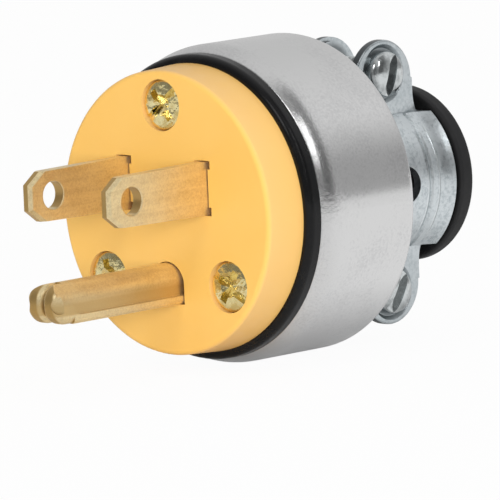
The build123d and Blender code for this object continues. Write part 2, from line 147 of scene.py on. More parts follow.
class PlugFinishes(PropertyGroup):
    """Colours of the plug's surfaces."""
    face: colour("Face", "Moulded front body", (0.92, 0.530, 0.118))
    face_pale: colour("Face, paler", "Where the moulding is slightly lighter", (0.94, 0.560, 0.140))
    # The sides' paler colour is a painted sheen, as from light on the right side
    face_side_sheen: colour("Face, sides", "Side of the moulding, a little chalky", (0.94, 0.575, 0.195))
    liner: colour("Liner", "Black insulating ring", (0.0045, 0.0046, 0.0050))
    steel: colour("Steel", "Plated shell", (0.680, 0.680, 0.680))
    steel_dull: colour("Steel, duller", "Clouded places of the shell", (0.600, 0.600, 0.603))
    brass: colour("Brass", "Blades and pin", (0.93, 0.775, 0.460))
    brass_dull: colour("Brass, duller", "Grain of the blades", (0.74, 0.580, 0.320))
    # Brass, pin sides: a darker stripe along the pin's sides, a painted reflection
    brass_reflection_stripe: colour("Brass, pin sides", "Dull stripe along the pin's sides", (0.60, 0.415, 0.170))
    # Brass, cut: the darker colour of the ends is painted shade, as the front gives them little light
    brass_end_shade: colour("Brass, cut", "Cut ends of the blades and the pin's nose", (0.48, 0.300, 0.095))
    screw_brass: colour("Screw plating", "Yellow plated face screws", (0.98, 0.865, 0.47))
    screw_brass_dull: colour("Screw plating, duller", "Worn places of the face screws", (0.80, 0.635, 0.26))
    zinc: colour("Zinc", "Clamp halves", (0.670, 0.715, 0.736))
    # Zinc, rubbed: the pressed lines' lighter colour is a painted highlight
    zinc_line_highlight: colour("Zinc, rubbed", "Lines pressed round the saddle", (0.80, 0.84, 0.85))
    # Zinc, duller: random mottles, and painted shade on the ears
    zinc_mottle_and_shade: colour("Zinc, duller", "Mottled places of the clamp", (0.460, 0.508, 0.530))
    # Sheared edge: partly duller sheared metal, partly painted shade on the ears' edges
    sheared_edge_shade: colour("Sheared edge", "Cut edges of the clamp's ears", (0.10, 0.11, 0.115))
    # The dish round each clamp screw gets painted shade
    dish_shade: colour("Dish dirt", "Round the clamp screws", (0.22, 0.24, 0.25))
    bright_steel: colour("Bright steel", "Clamp screws and small plates", (0.61, 0.64, 0.645))
    bright_steel_dull: colour(
        "Bright steel, duller", "Worn places of the clamp screws", (0.35, 0.37, 0.375))
    green: colour("Green", "Ground terminal screw", (0.035, 0.26, 0.08))
    rubber: colour("Rubber", "Cord bushing", (0.005, 0.005, 0.0052))
    # Rubber, dusty: dust shown only on the rim, so that the front face stays darker as painted shade
    rubber_dust_and_rim_light: colour("Rubber, dusty", "Dust on the bushing", (0.022, 0.022, 0.023))


class PlugScrews(PropertyGroup):
    """Sizes of the screws that the node tree makes."""
    face_head_radius: length("Face head radius", "Head of a face screw", 2.95)
    face_head_height: length("Face head height", "Head of a face screw", 1.9)
    face_shank_radius: length("Face shank radius", "Outside of the thread", 1.6)
    face_shank_length: length("Face shank length", "From the seat to the shell's rear wall", 20.98)
    face_slot_width: length("Face slot width", "Slot and cross of a face screw", 1.0)
    face_slot_depth: length("Face slot depth", "Slot of a face screw", 0.6)
    face_thread_pitch: length("Face thread pitch", "Rise of the thread in one turn", 0.8)
    face_circle: length("Face screw circle", "Radius of the circle of screws", 12.65)
    face_seat: length("Face screw seat", "Seat of the heads behind the face", 2.02)
    clamp_head_radius: length("Clamp head radius", "Head of a clamp screw", 2.75)
    clamp_head_height: length("Clamp head height", "Head of a clamp screw", 2.0)
    clamp_shank_radius: length("Clamp shank radius", "Outside of the thread", 1.9)
    clamp_shank_length: length("Clamp shank length", "From the seat through both ears", 10.95)
    clamp_slot_width: length("Clamp slot width", "Slot of a clamp screw", 1.35)
    clamp_slot_depth: length("Clamp slot depth", "Slot of a clamp screw", 0.75)
    clamp_thread_pitch: length("Clamp thread pitch", "Rise of the thread in one turn", 0.8)
    clamp_seat: length("Clamp screw seat", "Seat of the heads from the middle plane", 4.45)
    clamp_y: length("Clamp screw station", "Place of the screws along the plug", 33.0)
    clamp_height: length("Clamp screw height", "Screws above and below the axis", 13.0)
    thread_depth: length("Thread depth", "Depth of the thread below its crest", 0.35)


class PlugStage(PropertyGroup):
    """Camera, floor and lamps."""
    azimuth: turn("Azimuth", "Camera round the plug from its front", 43.89)
    elevation: turn("Elevation", "Camera above the horizon", 7.54)
    roll: turn("Roll", "Camera turned about its view", 2.40)
    distance: length("Distance", "Camera to the point it looks at", 895.5)
    focal: amount("Focal length", "Lens in millimetres on a 36 mm sensor", 547.1)
    target: FloatVectorProperty(
        name="Target", description="Point in the middle of the picture", default=(0.0, 0.01404, -0.00607),
        size=3, unit="LENGTH", subtype="TRANSLATION")
    floor_drop: length("Floor drop", "Floor below the shell", 0.05)
    floor_colour: colour("Floor", "Pale floor", (0.92, 0.92, 0.92))
    backdrop: colour("Backdrop", "Seen behind the plug", (1.0, 1.0, 1.0))
    ceiling_level: amount("Ceiling level", "Soft light from above", 0.88)
    wall_level: amount("Wall level", "Soft light from the sides", 0.45)
    front_share: amount("Front share", "How much of that light is left behind the camera", 0.30)
    front_power: power("Front lamp", "Large soft light at the camera, which metal doesn't show", 10.0)
    spot_power: power("Small lamp", "Small softbox above the camera", 1.3)
    strip_power: power("Strip lamp", "Long narrow softbox high on the right", 0.8)


# Node trees

class NodeWork:
    """Nodes of a tree under construction."""

    def __init__(self, tree):
        self.nodes = tree.nodes
        self.links = tree.links

    def feed(self, socket, value):
        """Link an input to a socket, or set its value."""
        if isinstance(value, bpy.types.NodeSocket):
            self.links.new(value, socket)
        else:
            socket.default_value = value

    def node(self, kind, *values, settings=None, **inputs):
        """A new node with its settings; values feed its inputs in order, or by name with _ for a space."""
        new_node = self.nodes.new(kind)
        for name, setting in (settings or {}).items():
            setattr(new_node, name, setting)
        for socket, value in zip(new_node.inputs, values):
            self.feed(socket, value)
        for name, value in inputs.items():
            self.feed(new_node.inputs[name.replace("_", " ")], value)
        return new_node

    def math(self, operation, *terms):
        """Sockets and plain numbers joined by one operation."""
        return self.node("ShaderNodeMath", *terms, settings={"operation": operation}).outputs[0]

    def vector_length(self, vector):
        """Length of a vector."""
        return self.node("ShaderNodeVectorMath", vector, settings={"operation": "LENGTH"}).outputs["Value"]


# Materials

NOISE_LOW, NOISE_HIGH = 0.35, 0.65  # most of a noise lies between these
MIX_BELOW, MIX_ABOVE, MIX_RESULT = 6, 7, 2  # colour sockets of a Mix node


class Shading(NodeWork):
    """A material under construction, on the piece's own coordinates."""

    def __init__(self, name):
        self.material = bpy.data.materials.new(name)
        self.material.use_nodes = True
        super().__init__(self.material.node_tree)
        self.shader = self.nodes["Principled BSDF"]
        coordinates = self.nodes.new("ShaderNodeTexCoord")
        self.place = coordinates.outputs["Object"]
        self.facing = coordinates.outputs["Normal"]

    def along(self, vector, axis):
        """One part of a vector."""
        return self.node("ShaderNodeSeparateXYZ", vector).outputs[axis]

    def part(self, vector, axis):
        """One part of a vector, without its sign."""
        return self.math("ABSOLUTE", self.along(vector, axis))

    def spread(self, value, first, last, start=NOISE_LOW, end=NOISE_HIGH, smooth=False):
        """A number that goes from first to last as the value goes from start to end."""
        return self.node(
            "ShaderNodeMapRange", settings={"interpolation_type": "SMOOTHSTEP" if smooth else "LINEAR"},
            Value=value, From_Min=start, From_Max=end, To_Min=first, To_Max=last).outputs["Result"]

    def glow(self, tone, strength):
        """Light of a tone, as a surface gives it."""
        return self.node("ShaderNodeEmission", Color=(*tone, 1.0), Strength=strength).outputs["Emission"]

    def show(self, surface):
        """Use a surface in place of the Principled shader."""
        self.nodes.remove(self.shader)
        self.links.new(surface, self.nodes["Material Output"].inputs["Surface"])


class Finish(Shading):
    """The finish of a piece: textures that feed a Principled shader."""

    def __init__(self, name, metallic, specular=0.5):
        super().__init__(name)
        self.shader.inputs["Metallic"].default_value = metallic
        self.shader.inputs["Specular IOR Level"].default_value = specular
        self.normal = None

    def noise(self, per_metre, detail=3.0, roughness=0.55, stretch=(1.0, 1.0, 1.0)):
        """Noise with that many features per metre."""
        stretched = self.node("ShaderNodeMapping", Vector=self.place, Scale=stretch).outputs["Vector"]
        return self.node(
            "ShaderNodeTexNoise", Vector=stretched, Scale=per_metre, Detail=detail,
            Roughness=roughness).outputs["Fac"]

    def ramp(self, value, dark, light, start=NOISE_LOW, end=NOISE_HIGH):
        """Colour between two tones."""
        ramp = self.node("ShaderNodeValToRGB", value)
        for element, position, tone in zip(ramp.color_ramp.elements, (start, end), (dark, light)):
            element.position = position
            element.color = (*tone, 1.0)
        return ramp.outputs["Color"]

    def over(self, share, below, tone):
        """A plain tone laid over a colour where the share is high."""
        mix = self.node("ShaderNodeMix", share, settings={"data_type": "RGBA"})
        self.links.new(below, mix.inputs[MIX_BELOW])
        mix.inputs[MIX_ABOVE].default_value = (*tone, 1.0)
        return mix.outputs[MIX_RESULT]

    def across(self, axis, start, end):
        """High where the surface faces away from an axis."""
        return self.spread(self.part(self.facing, axis), 1.0, 0.0, start, end)

    def within(self, axis, start, end):
        """High where the piece lies less far out along an axis."""
        return self.spread(self.part(self.place, axis), 1.0, 0.0, start, end)

    def beyond(self, axis, start, end):
        """High where the piece lies further out along an axis."""
        return self.spread(self.part(self.place, axis), 0.0, 1.0, start, end)

    def reach(self, centre, axes):
        """Distance from a centre, counted along some axes only."""
        counted = tuple(1.0 if name in axes else 0.0 for name in "XYZ")
        shift = tuple(-c * keep for c, keep in zip(centre, counted))
        moved = self.node("ShaderNodeMapping", Vector=self.place, Location=shift, Scale=counted)
        return self.vector_length(moved.outputs["Vector"])

    def near_line(self, centre, across_axes, start, end):
        """High within a distance of a line through a centre, measured along two axes."""
        return self.spread(self.reach(centre, across_axes), 1.0, 0.0, start, end)

    def stripe(self, axis, at, half):
        """High on a narrow stripe that crosses an axis at that place."""
        return self.spread(self.reach((at, at, at), axis), 1.0, 0.0, 0.0, half)

    def base(self, tone):
        """Base colour from a colour that varies."""
        self.links.new(tone, self.shader.inputs["Base Color"])

    def rough(self, value, first, last, start=NOISE_LOW, end=NOISE_HIGH):
        """Roughness that goes from first to last as the value goes from start to end."""
        self.links.new(self.spread(value, first, last, start, end), self.shader.inputs["Roughness"])

    def bump(self, value, strength, depth_mm):
        """A relief of that depth, on top of any relief before it."""
        relief = self.node("ShaderNodeBump", Strength=strength, Distance=depth_mm * MM, Height=value)
        if self.normal:
            self.links.new(self.normal, relief.inputs["Normal"])
        self.normal = relief.outputs["Normal"]
        self.links.new(self.normal, self.shader.inputs["Normal"])


def shaded(tone, share):
    """A tone made lighter or darker."""
    return tuple(share * channel for channel in tone)


def moulded_face(tones):
    """Satin yellow moulding with a painted sheen on its sides, a faint flow pattern and a fine pebbled skin.
    """
    finish = Finish("moulded_face", metallic=0.0)
    flow = finish.noise(70.0, detail=3.0, roughness=0.5, stretch=(1.0, 0.5, 1.0))
    tone = finish.ramp(flow, tones.face, tones.face_pale, start=0.3, end=0.7)
    # Painted sheen: the sides near the face are made paler, as light from the right makes them
    near_face = finish.spread(
        finish.part(finish.place, "Y"), first=1.0, last=0.6, start=0.0, end=SHEEN_RIM)
    sheen = finish.math("MULTIPLY", finish.across("Y", start=0.25, end=0.85), near_face)
    finish.base(finish.over(sheen, tone, tones.face_side_sheen))
    finish.rough(finish.noise(420.0, detail=4.0), first=0.36, last=0.50)
    finish.bump(finish.noise(2600.0, detail=2.0), strength=0.18, depth_mm=0.05)
    return finish.material


def black_liner(tones):
    """Black moulding with a soft shine and a few dull scuffs."""
    finish = Finish("black_liner", metallic=0.0, specular=0.22)
    scuffs = finish.noise(260.0, detail=5.0, roughness=0.65, stretch=(1.0, 3.0, 1.0))
    finish.base(finish.ramp(scuffs, tones.liner, shaded(tones.liner, 1.9), start=0.55, end=0.8))
    finish.rough(scuffs, first=0.17, last=0.36, start=0.4, end=0.75)
    finish.bump(finish.noise(1500.0, detail=2.0), strength=0.08, depth_mm=0.04)
    return finish.material


def plated_shell(tones):
    """Satin plated steel, faintly clouded, with a fine grain that is coarser on the turned-in lip."""
    finish = Finish("plated_shell", metallic=1.0)
    clouds = finish.noise(95.0, detail=4.0, roughness=0.6)
    grain = finish.noise(3000.0, detail=3.0, roughness=0.65)
    lip = finish.within("Y", *LIP_EDGE)
    clouded = finish.math("ADD", clouds, grain)
    finish.base(finish.ramp(clouded, tones.steel_dull, tones.steel, start=0.75, end=1.0))
    duller = finish.math("ADD", lip, finish.math("MULTIPLY", clouds, grain))
    finish.rough(duller, first=0.17, last=0.24, start=0.15, end=1.35)
    finish.bump(grain, strength=0.16, depth_mm=0.025)
    lip_grain = finish.math("MULTIPLY", lip, finish.noise(2600.0, detail=3.0, roughness=0.6))
    finish.bump(lip_grain, strength=0.45, depth_mm=0.06)
    return finish.material


def brushed_brass(name, tones, stripe=None):
    """Brass under a thin dull film: a fine speckle, a faint grain along the blades, painted shade on the
    ends, and a painted reflection as a darker stripe where a stripe is given.
    """
    finish = Finish(name, metallic=0.85)
    speckle = finish.noise(3600.0, detail=4.0, roughness=0.75)
    grain = finish.noise(1500.0, detail=3.0, roughness=0.6, stretch=(1.0, 0.05, 1.0))
    blotches = finish.noise(300.0, detail=4.0, roughness=0.6)
    mixed = finish.math("ADD", speckle, finish.math("MULTIPLY", grain, blotches))
    tone = finish.ramp(mixed, tones.brass_dull, tones.brass, start=0.55, end=0.88)
    # Painted reflection: a darker stripe along the pin's sides
    if stripe:
        start, end = stripe
        fade_in, fade_out = PIN_REFLECTION_STRIPE_FADES
        height = finish.part(finish.place, "Z")
        begun = finish.spread(height, first=0.0, last=0.8, start=start, end=start + fade_in)
        not_ended = finish.spread(height, first=1.0, last=0.0, start=end - fade_out, end=end)
        tone = finish.over(finish.math("MULTIPLY", begun, not_ended), tone, tones.brass_reflection_stripe)
    # Painted shade: the ends, which face along the plug, are made darker
    end_on = finish.spread(finish.part(finish.facing, "Y"), first=0.0, last=0.9, start=0.3, end=0.5)
    cut = finish.math("MULTIPLY", finish.across("X", start=0.25, end=0.5), end_on)
    finish.base(finish.over(cut, tone, tones.brass_end_shade))
    finish.rough(finish.math("ADD", speckle, blotches), first=0.36, last=0.52, start=0.75, end=1.3)
    finish.bump(speckle, strength=0.45, depth_mm=0.04)
    finish.bump(grain, strength=0.08, depth_mm=0.03)
    return finish.material


def plated_screw(name, dull, bright, smooth, worn, dents):
    """Bright plating worn dull in places and dented by the driver."""
    finish = Finish(name, metallic=1.0)
    wear = finish.noise(620.0, detail=4.0, roughness=0.65)
    finish.base(finish.ramp(wear, dull, bright, start=0.34, end=0.56))
    finish.rough(wear, first=worn, last=smooth, start=0.32, end=0.6)
    finish.bump(finish.noise(1100.0, detail=2.0, roughness=0.5), strength=dents, depth_mm=0.22)
    finish.bump(finish.noise(2600.0, detail=3.0), strength=0.10, depth_mm=0.04)
    return finish.material


def mottled_zinc(tones, screws):
    """Zinc plating in bluish mottles and streaks; painted shade darkens the ears, their sheared edges and
    the dish round each screw, and a painted highlight lightens the pressed lines.
    """
    finish = Finish("mottled_zinc", metallic=1.0)
    mottle = finish.noise(520.0, detail=5.0, roughness=0.7)
    streaks = finish.noise(700.0, detail=3.0, roughness=0.6, stretch=(0.14, 1.0, 0.14))
    speckle = finish.noise(2300.0, detail=4.0, roughness=0.7)
    cloudy = finish.math("ADD", finish.math("MULTIPLY", mottle, streaks), speckle)
    tone = finish.ramp(cloudy, tones.zinc_mottle_and_shade, tones.zinc, start=0.57, end=0.80)

    # Painted shade: the ears are made darker, and their edges darker still; the edges are partly duller
    # sheared metal
    ear = finish.beyond("Z", *EAR_ROOT)
    shaded_ear = finish.math("MULTIPLY", ear, finish.spread(mottle, first=0.6, last=0.1))
    tone = finish.over(shaded_ear, tone, tones.zinc_mottle_and_shade)
    ear_edge_shade = finish.math("MULTIPLY", finish.across("X", start=0.35, end=0.75), ear)
    tone = finish.over(ear_edge_shade, tone, tones.sheared_edge_shade)
    # Painted shade in the dish round each clamp screw
    for height in (screws.clamp_height, -screws.clamp_height):
        shade = finish.near_line((0.0, screws.clamp_y, height), "YZ", *DISH_SHADE_RADII)
        tone = finish.over(shade, tone, tones.dish_shade)

    # The pressed lines are a real relief; their lighter colour is a painted highlight
    lines = finish.math("ADD", *(finish.stripe("Y", at, half) for at, half in PRESSED_LINES))
    pressed = finish.math("MULTIPLY", lines, finish.beyond("X", *SADDLE_SIDE))
    finish.base(finish.over(pressed, tone, tones.zinc_line_highlight))
    finish.rough(finish.math("ADD", mottle, streaks), first=0.26, last=0.42, start=0.75, end=1.3)
    finish.bump(pressed, strength=0.7, depth_mm=0.10)
    finish.bump(mottle, strength=0.12, depth_mm=0.04)
    finish.bump(speckle, strength=0.30, depth_mm=0.05)
    finish.bump(streaks, strength=0.16, depth_mm=0.05)
    return finish.material


def green_screw(tones):
    """Green dyed plating."""
    finish = Finish("green_screw", metallic=1.0)
    wear = finish.noise(700.0, detail=4.0)
    finish.base(finish.ramp(wear, shaded(tones.green, 0.6), tones.green))
    finish.rough(wear, first=0.38, last=0.24)
    finish.bump(wear, strength=0.08, depth_mm=0.04)
    return finish.material


def dusty_rubber(tones):
    """Matt black rubber with a little dust on its rim, kept off the faces that look along the plug so that
    they stay darker as painted shade, and a fine moulded grain.
    """
    finish = Finish("dusty_rubber", metallic=0.0, specular=0.25)
    dust = finish.noise(380.0, detail=5.0, roughness=0.7)
    # Dust only where the surface faces away from the plug's axis: partly dust, partly painted shade that
    # keeps the front face darker
    dust_and_shade = finish.math("MULTIPLY", dust, finish.across("Y", start=0.6, end=0.9))
    finish.base(finish.ramp(dust_and_shade, tones.rubber, tones.rubber_dust_and_rim_light, start=0.15, end=0.75))
    finish.rough(dust, first=0.46, last=0.66)
    finish.bump(finish.noise(1800.0, detail=3.0), strength=0.15, depth_mm=0.05)
    return finish.material


def brass_finish(tones):
    """Blades and the plate under the line screw; built once."""
    name = "brushed_brass"
    return bpy.data.materials.get(name) or brushed_brass(name, tones)


def yellow_screw_finish(tones):
    """Face screws and the line terminal screw; built once."""
    name = "yellow_screw"
    return bpy.data.materials.get(name) or plated_screw(
        name, tones.screw_brass_dull, tones.screw_brass, smooth=0.16, worn=0.32, dents=0.75)


def bright_screw_finish(tones):
    """Clamp screws and the small steel pieces inside; built once."""
    name = "bright_screw"
    return bpy.data.materials.get(name) or plated_screw(
        name, tones.bright_steel_dull, tones.bright_steel, smooth=0.10, worn=0.24, dents=0.08)


def dress(node, material):
    """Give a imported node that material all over."""
    data = NODES[node].data
    data.materials.clear()
    data.materials.append(material)


# Screws made by a node tree

SCREW_TREE = "machine_screw"
SCREW_INPUTS = (
    "Head Radius", "Head Height", "Dome Share", "Slot Width", "Slot Depth", "Cross Length", "Cross Depth",
    "Cone Radius", "Shank Radius", "Shank Length", "Thread Pitch", "Thread Depth", "Slot Angle")
OWN_SIZES = (
    "Head Radius", "Head Height", "Slot Width", "Slot Depth", "Shank Radius", "Shank Length",
    "Thread Pitch")  # inputs that face and clamp screws each have a property for
HEAD_SIDES, HEAD_RINGS = 96, 24
HEAD_TOP = 0.9  # what lies above this share of the head's height is its top
DOME_POWER = 2.6  # the head's outline, between an ellipse and a box
LEAST_SHARE = 0.0001  # keeps the middle of the head from a division by zero
SLOT_REACH = 4.0  # the slot's cutter against the head's radius, well past both sides
CONE_SIDES = 32
CONE_DEPTH, CONE_TOP, CONE_TIP = 1.1, 1.9, 0.1  # against the cone's radius
CORE_SIDES, RIDGE_SIDES = 48, 4
TURN_STEPS = 40  # points of the thread in one turn
FREE_TURNS = 0.6  # turns without a thread at either end of the shank


class ScrewTree(NodeWork):
    """A Geometry Nodes tree under construction, with the inputs of one screw on the Z axis."""

    def __init__(self):
        self.group = bpy.data.node_groups.new(SCREW_TREE, "GeometryNodeTree")
        super().__init__(self.group)
        sockets = self.group.interface
        sockets.new_socket("Geometry", in_out="OUTPUT", socket_type="NodeSocketGeometry")
        for name in SCREW_INPUTS:
            sockets.new_socket(name, in_out="INPUT", socket_type="NodeSocketFloat")
        sockets.new_socket("Finish", in_out="INPUT", socket_type="NodeSocketMaterial")
        self.inputs = self.nodes.new("NodeGroupInput").outputs

    def vector(self, x, y, z):
        """A vector from three values."""
        return self.node("ShaderNodeCombineXYZ", x, y, z).outputs[0]

    def up(self, z):
        """A vector along the screw."""
        return self.vector(0.0, 0.0, z)

    def times(self, value, factor):
        """A value times a number or another value."""
        return self.math("MULTIPLY", value, factor)

    def less(self, value, other):
        """A value less another."""
        return self.math("SUBTRACT", value, other)

    def block(self, x, y, half_height):
        """A block about the origin."""
        size = self.vector(x, y, self.times(half_height, 2.0))
        return self.node("GeometryNodeMeshCube", Size=size).outputs["Mesh"]

    def moved(self, geometry, offset, rotation=(0.0, 0.0, 0.0)):
        """Geometry moved by a vector and turned."""
        return self.node(
            "GeometryNodeTransform", Geometry=geometry, Translation=offset,
            Rotation=rotation).outputs["Geometry"]

    def head(self):
        """A disc above its seat at height 0, whose top rings are lifted to a dome."""
        radius, height = self.inputs["Head Radius"], self.inputs["Head Height"]
        disc = self.node(
            "GeometryNodeMeshCylinder", settings={"fill_type": "TRIANGLE_FAN"}, Vertices=HEAD_SIDES,
            Side_Segments=1, Fill_Segments=HEAD_RINGS, Radius=radius, Depth=height).outputs["Mesh"]
        seated = self.moved(disc, self.up(self.times(height, 0.5)))
        place = self.node("ShaderNodeSeparateXYZ", self.node("GeometryNodeInputPosition").outputs[0]).outputs
        off_axis = self.vector_length(self.vector(place["X"], place["Y"], 0.0))
        share = self.math("MINIMUM", self.math("DIVIDE", off_axis, radius), 1.0)
        # Rings move outwards, to lie closer together where the dome is steep
        ring = self.less(1.0, self.math("POWER", self.less(1.0, share), 2.0))
        outwards = self.math("DIVIDE", ring, self.math("MAXIMUM", share, LEAST_SHARE))
        outline = self.math("POWER", self.less(1.0, self.math("POWER", ring, DOME_POWER)), 1.0 / DOME_POWER)
        rise = self.less(1.0, self.times(self.inputs["Dome Share"], self.less(1.0, outline)))
        domed = self.vector(
            self.times(place["X"], outwards), self.times(place["Y"], outwards), self.times(height, rise))
        is_top = self.math("GREATER_THAN", place["Z"], self.times(height, HEAD_TOP))
        return self.node(
            "GeometryNodeSetPosition", Geometry=seated, Selection=is_top, Position=domed).outputs["Geometry"]

    def recess(self, head):
        """The head with a slot right across it, and a cross and a cone in the slot's middle."""
        width = self.inputs["Slot Width"]
        cross_length, cross_depth = self.inputs["Cross Length"], self.inputs["Cross Depth"]
        cone_radius = self.inputs["Cone Radius"]
        slot_length = self.times(self.inputs["Head Radius"], SLOT_REACH)
        slot = self.block(slot_length, width, self.inputs["Slot Depth"])
        bar = self.block(cross_length, width, cross_depth)
        cross = self.block(width, cross_length, cross_depth)
        cone_depth = self.times(cone_radius, CONE_DEPTH)
        cone = self.node(
            "GeometryNodeMeshCone", Vertices=CONE_SIDES, Radius_Top=self.times(cone_radius, CONE_TOP),
            Radius_Bottom=self.times(cone_radius, CONE_TIP),
            Depth=self.times(cone_depth, 2.0)).outputs["Mesh"]
        cone = self.moved(cone, self.up(self.times(cone_depth, -1.0)))
        top, spin = self.up(self.inputs["Head Height"]), self.up(self.inputs["Slot Angle"])
        cut = self.node("GeometryNodeMeshBoolean", settings={"operation": "DIFFERENCE", "solver": "EXACT"})
        self.links.new(head, cut.inputs["Mesh 1"])
        for cutter in (slot, bar, cross, cone):
            self.links.new(self.moved(cutter, top, spin), cut.inputs["Mesh 2"])
        return self.node(
            "GeometryNodeSetShadeSmooth", cut.outputs["Mesh"], settings={"domain": "FACE"}).outputs[0]

    def shank(self):
        """A core, and a thread that winds up it."""
        shank_length, pitch = self.inputs["Shank Length"], self.inputs["Thread Pitch"]
        depth = self.inputs["Thread Depth"]
        core_radius = self.less(self.inputs["Shank Radius"], depth)
        core = self.node(
            "GeometryNodeMeshCylinder", Vertices=CORE_SIDES, Radius=core_radius,
            Depth=shank_length).outputs["Mesh"]
        core = self.moved(core, self.up(self.times(shank_length, -0.5)))
        threaded = self.less(shank_length, self.times(pitch, 2.0 * FREE_TURNS))
        turns = self.math("DIVIDE", threaded, pitch)
        spiral = self.node(
            "GeometryNodeCurveSpiral", Resolution=TURN_STEPS, Rotations=turns, Start_Radius=core_radius,
            End_Radius=core_radius, Height=self.times(turns, pitch)).outputs["Curve"]
        upright = self.node(
            "GeometryNodeSetCurveNormal", settings={"mode": "Z_UP"}, Curve=spiral).outputs["Curve"]
        ridge = self.node(
            "GeometryNodeCurvePrimitiveCircle", Resolution=RIDGE_SIDES, Radius=depth).outputs["Curve"]
        thread = self.node(
            "GeometryNodeCurveToMesh", Curve=upright, Profile_Curve=ridge, Fill_Caps=True).outputs["Mesh"]
        lowest = self.less(self.times(pitch, FREE_TURNS), shank_length)
        return core, self.moved(thread, self.up(lowest))

    def build(self):
        """Join head and shank, and give them the finish."""
        join = self.nodes.new("GeometryNodeJoinGeometry")
        for geometry in (self.recess(self.head()), *self.shank()):
            self.links.new(geometry, join.inputs["Geometry"])
        plain = self.node("GeometryNodeRealizeInstances", Geometry=join.outputs["Geometry"])
        finished = self.node(
            "GeometryNodeSetMaterial", Geometry=plain.outputs["Geometry"], Material=self.inputs["Finish"])
        self.node("NodeGroupOutput", finished.outputs["Geometry"])
        return self.group


def screw_mesh(sizes):
    """Mesh of one screw with those sizes, as the tree makes it."""
    tree = bpy.data.node_groups.get(SCREW_TREE) or ScrewTree().build()
    holder = bpy.data.objects.new("screw_holder", bpy.data.meshes.new("screw_holder"))
    bpy.context.scene.collection.objects.link(holder)
    modifier = holder.modifiers.new("screw", "NODES")
    modifier.node_group = tree
    for socket in tree.interface.items_tree:
        if socket.in_out == "INPUT":
            modifier[socket.identifier] = sizes[socket.name]
    bpy.context.view_layer.update()
    seen = holder.evaluated_get(bpy.context.evaluated_depsgraph_get())
    mesh = bpy.data.meshes.new_from_object(seen)
    holder.modifiers.remove(modifier)
    bpy.data.objects.remove(holder)
    if not mesh.polygons:
        raise RuntimeError("the screw tree made no faces")
    return mesh


def screw_sizes(screws, kind, slot_angle, recess, material):
    """The tree's inputs for one screw; kind is face or clamp."""
    sizes = {name: getattr(screws, kind + "_" + name.lower().replace(" ", "_")) for name in OWN_SIZES}
    sizes.update(recess)
    sizes["Thread Depth"] = screws.thread_depth
    sizes["Slot Angle"] = math.radians(slot_angle)
    sizes["Finish"] = material
    return sizes


def screws_piece(name, screws, material, nodes):
    """One piece of several screws, each with its sizes and place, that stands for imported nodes."""
    joined = bmesh.new()
    for sizes, place in screws:
        mesh = screw_mesh(sizes)
        mesh.transform(place)
        joined.from_mesh(mesh)
        bpy.data.meshes.remove(mesh)
    bmesh.ops.recalc_face_normals(joined, faces=joined.faces)
    data = bpy.data.meshes.new(name)
    joined.to_mesh(data)
    joined.free()
    data.materials.clear()
    data.materials.append(material)
    data.shade_smooth()
    data.set_sharp_from_angle(angle=math.radians(SHARP_ANGLE))
    piece = bpy.data.objects.new(name, data)
    bpy.context.scene.collection.objects.link(piece)
    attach(piece, "root")
    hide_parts(*nodes)


# Operators

class PLUG_OT_front_body(Operator):
    """Finish the moulded front body"""
    bl_idname = "plug.front_body"
    bl_label = "Front Body"

    def execute(self, context):
        dress("front_body", moulded_face(context.scene.plug_finishes))
        return {"FINISHED"}


class PLUG_OT_liner(Operator):
    """Finish the black insulating liner"""
    bl_idname = "plug.liner"
    bl_label = "Insulating Liner"

    def execute(self, context):
        dress("insulating_liner", black_liner(context.scene.plug_finishes))
        return {"FINISHED"}


class PLUG_OT_shell(Operator):
    """Finish the plated steel shell"""
    bl_idname = "plug.shell"
    bl_label = "Steel Shell"

    def execute(self, context):
        dress("steel_shell", plated_shell(context.scene.plug_finishes))
        return {"FINISHED"}


class PLUG_OT_contacts(Operator):
    """Finish the blades and the ground pin"""
    bl_idname = "plug.contacts"
    bl_label = "Blades and Ground Pin"

    def execute(self, context):
        tones = context.scene.plug_finishes
        for node in ("line_blade", "neutral_blade"):
            dress(node, brass_finish(tones))
        dress("ground_pin", brushed_brass("pin_brass", tones, PIN_REFLECTION_STRIPE))
        return {"FINISHED"}


class PLUG_OT_terminals(Operator):
    """Finish the terminal screws and wire plates inside"""
    bl_idname = "plug.terminals"
    bl_label = "Terminals"

    def execute(self, context):
        tones = context.scene.plug_finishes
        dress("line_terminal_screw", yellow_screw_finish(tones))
        dress("line_wire_plate", brass_finish(tones))
        dress("ground_terminal_screw", green_screw(tones))
        for node in ("neutral_terminal_screw", "neutral_wire_plate", "ground_wire_plate"):
            dress(node, bright_screw_finish(tones))
        return {"FINISHED"}


class PLUG_OT_face_screws(Operator):
    """Make the three face screws with a slot and a cross"""
    bl_idname = "plug.face_screws"
    bl_label = "Face Screws"

    def execute(self, context):
        sizes = context.scene.plug_screws
        brass = yellow_screw_finish(context.scene.plug_finishes)
        facing_front = Matrix.Rotation(math.pi / 2, 4, "X")
        screws = []
        for around, slot_angle in FACE_SCREWS.values():
            x = sizes.face_circle * math.cos(math.radians(around))
            z = sizes.face_circle * math.sin(math.radians(around))
            screws.append((
                screw_sizes(sizes, "face", slot_angle, FACE_RECESS, brass),
                Matrix.Translation((x, sizes.face_seat, z)) @ facing_front))
        screws_piece(
            "face_screws", screws, brass, ["face_screw_" + name for name in FACE_SCREWS])
        return {"FINISHED"}


class PLUG_OT_clamp(Operator):
    """Finish the two halves of the cord clamp"""
    bl_idname = "plug.clamp"
    bl_label = "Cord Clamp"

    def execute(self, context):
        zinc = mottled_zinc(context.scene.plug_finishes, context.scene.plug_screws)
        for node in ("clamp_half_right", "clamp_half_left"):
            dress(node, zinc)
        return {"FINISHED"}


